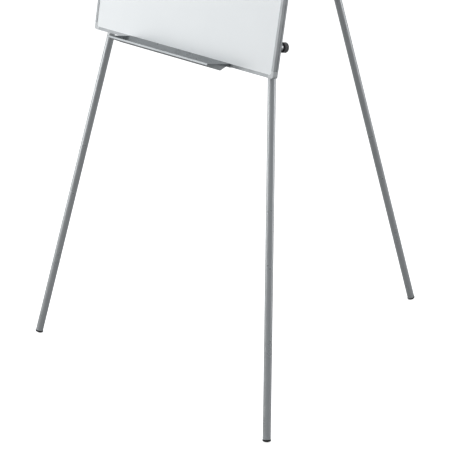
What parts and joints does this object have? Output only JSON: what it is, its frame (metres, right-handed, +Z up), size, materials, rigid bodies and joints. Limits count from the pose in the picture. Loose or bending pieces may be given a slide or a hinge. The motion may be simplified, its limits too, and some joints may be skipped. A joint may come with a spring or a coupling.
{
  "type": "flipchart easel",
  "caption": "Tripod flipchart easel: white board in a slim metal frame on telescopic round legs with clamp knobs, folded pen tray, sprung pad clamp and sliding pad pegs.",
  "frame": {"origin": "on the floor, at the middle of the footprint's bounding box", "axes": "+Z up, +X to the right as a person facing the board sees it, the board's face towards -Y"},
  "size_m": [0.9696, 1.0254, 1.8692],
  "materials": {
    "leg_tube": "satin silver-grey coating",
    "foot_rubber": "matt black",
    "dark_plastic": "fine moulded texture",
    "knob_plastic": "ribbed, fine moulded texture",
    "plated_steel": "bright zinc plate",
    "nylon": "natural nylon",
    "grey_steel": "satin grey powder coat",
    "tray_steel": "satin metallic grey",
    "clamp_aluminium": "satin anodised",
    "grip_rubber": "matt dark grey",
    "spring_steel": "oiled spring wire",
    "white_lacquer": "smooth white lacquer",
    "galvanised_sheet": "galvanised",
    "board_core": "paper honeycomb",
    "frame_aluminium": "satin anodised",
    "cap_plastic": "light grey moulded"
  },
  "bodies": {
    "front_frame": {"left_upper_tube": "leg_tube", "right_upper_tube": "leg_tube", "left_clamp_collar": "dark_plastic", "right_clamp_collar": "dark_plastic", "left_clamp_insert": "plated_steel", "right_clamp_insert": "plated_steel", "tube_top_caps": "dark_plastic", "head_bracket": "grey_steel", "head_bolts": "plated_steel", "hinge_bolt": "plated_steel", "hinge_nut": "plated_steel", "hinge_washers": "nylon", "left_tube_saddle": "dark_plastic", "right_tube_saddle": "dark_plastic", "left_tube_strap": "plated_steel", "right_tube_strap": "plated_steel", "board_screws": "plated_steel", "board_front_sheet": "white_lacquer", "board_core": "board_core", "board_back_sheet": "galvanised_sheet", "top_frame_profile": "frame_aluminium", "bottom_frame_profile": "frame_aluminium", "left_frame_profile": "frame_aluminium", "right_frame_profile": "frame_aluminium", "corner_caps": "cap_plastic", "pen_tray": "tray_steel", "tray_screws": "plated_steel", "pad_rail": "grey_steel", "rail_screws": "plated_steel", "clamp_pins": "plated_steel", "clamp_springs": "spring_steel"},
    "left_lower_leg": {"left_lower_tube": "leg_tube", "left_foot": "foot_rubber", "left_guide_bush": "dark_plastic"},
    "right_lower_leg": {"right_lower_tube": "leg_tube", "right_foot": "foot_rubber", "right_guide_bush": "dark_plastic"},
    "rear_leg": {"rear_upper_tube": "leg_tube", "rear_leg_fitting": "dark_plastic", "rear_clamp_collar": "dark_plastic", "rear_clamp_insert": "plated_steel"},
    "rear_lower_leg": {"rear_lower_tube": "leg_tube", "rear_foot": "foot_rubber", "rear_guide_bush": "dark_plastic"},
    "left_shoe": {"left_clamp_shoe": "nylon"},
    "right_shoe": {"right_clamp_shoe": "nylon"},
    "rear_shoe": {"rear_clamp_shoe": "nylon"},
    "left_knob": {"left_clamp_knob": "knob_plastic", "left_clamp_stud": "plated_steel"},
    "right_knob": {"right_clamp_knob": "knob_plastic", "right_clamp_stud": "plated_steel"},
    "rear_knob": {"rear_clamp_knob": "knob_plastic", "rear_clamp_stud": "plated_steel"},
    "pad_clamp": {"clamp_bar": "clamp_aluminium", "clamp_grip": "grip_rubber"},
    "left_peg": {"left_pad_peg": "plated_steel"},
    "right_peg": {"right_pad_peg": "plated_steel"},
    "left_nut": {"left_peg_nut": "knob_plastic"},
    "right_nut": {"right_peg_nut": "knob_plastic"}
  },
  "joints": [
    {"name": "left_leg_slide", "type": "slide", "parent": "front_frame", "child": "left_lower_leg", "axis": [0.1797, 0.1561, 0.9713], "range_m": [0, 0.7]},
    {"name": "left_shoe_travel", "type": "slide", "parent": "front_frame", "child": "left_shoe", "axis": [0, 0.9873, -0.1587], "range_m": [0, 0.00187]},
    {"name": "left_knob_turn", "type": "hinge", "parent": "left_shoe", "child": "left_knob", "pos_m": [-0.3016, -0.31601, 0.93172], "axis": [0, 0.9873, -0.1587], "range_deg": [0, 540]},
    {"name": "right_leg_slide", "type": "slide", "parent": "front_frame", "child": "right_lower_leg", "axis": [-0.1797, 0.1561, 0.9713], "range_m": [0, 0.7]},
    {"name": "right_shoe_travel", "type": "slide", "parent": "front_frame", "child": "right_shoe", "axis": [0, 0.9873, -0.1587], "range_m": [0, 0.00187]},
    {"name": "right_knob_turn", "type": "hinge", "parent": "right_shoe", "child": "right_knob", "pos_m": [0.3016, -0.31601, 0.93172], "axis": [0, 0.9873, -0.1587], "range_deg": [0, 540]},
    {"name": "rear_leg_fold", "type": "hinge", "parent": "front_frame", "child": "rear_leg", "pos_m": [0, -0.16128, 1.82519], "axis": [-1, 0, 0], "range_deg": [0, 29]},
    {"name": "rear_leg_slide", "type": "slide", "parent": "rear_leg", "child": "rear_lower_leg", "axis": [0, -0.3433, 0.9392], "range_m": [0, 0.67]},
    {"name": "rear_shoe_travel", "type": "slide", "parent": "rear_leg", "child": "rear_shoe", "axis": [0, 0.9392, 0.3433], "range_m": [0, 0.00187]},
    {"name": "rear_knob_turn", "type": "hinge", "parent": "rear_shoe", "child": "rear_knob", "pos_m": [0, 0.17411, 1.00948], "axis": [0, 0.9392, 0.3433], "range_deg": [0, 540]},
    {"name": "clamp_bar_lift", "type": "hinge", "parent": "front_frame", "child": "pad_clamp", "pos_m": [0, -0.25518, 1.85851], "axis": [-1, 0, 0], "range_deg": [0, 100], "stiffness_Nm_per_rad": 0.25, "springref_deg": -34.38},
    {"name": "left_peg_slide", "type": "slide", "parent": "front_frame", "child": "left_peg", "axis": [1, 0, 0], "range_m": [0, 0.11]},
    {"name": "left_peg_nut_turn", "type": "hinge", "parent": "left_peg", "child": "left_nut", "pos_m": [-0.23, -0.24222, 1.83516], "axis": [0, -0.9873, 0.1587], "range_deg": [0, 180]},
    {"name": "right_peg_slide", "type": "slide", "parent": "front_frame", "child": "right_peg", "axis": [-1, 0, 0], "range_m": [0, 0.11]},
    {"name": "right_peg_nut_turn", "type": "hinge", "parent": "right_peg", "child": "right_nut", "pos_m": [0.23, -0.24222, 1.83516], "axis": [0, -0.9873, 0.1587], "range_deg": [0, 180]}
  ],
  "couplings": [
    {"joint": "left_knob_turn", "follows": "left_shoe_travel", "rad_per_m": 5026.5},
    {"joint": "right_knob_turn", "follows": "right_shoe_travel", "rad_per_m": 5026.5},
    {"joint": "rear_knob_turn", "follows": "rear_shoe_travel", "rad_per_m": 5026.5}
  ]
}
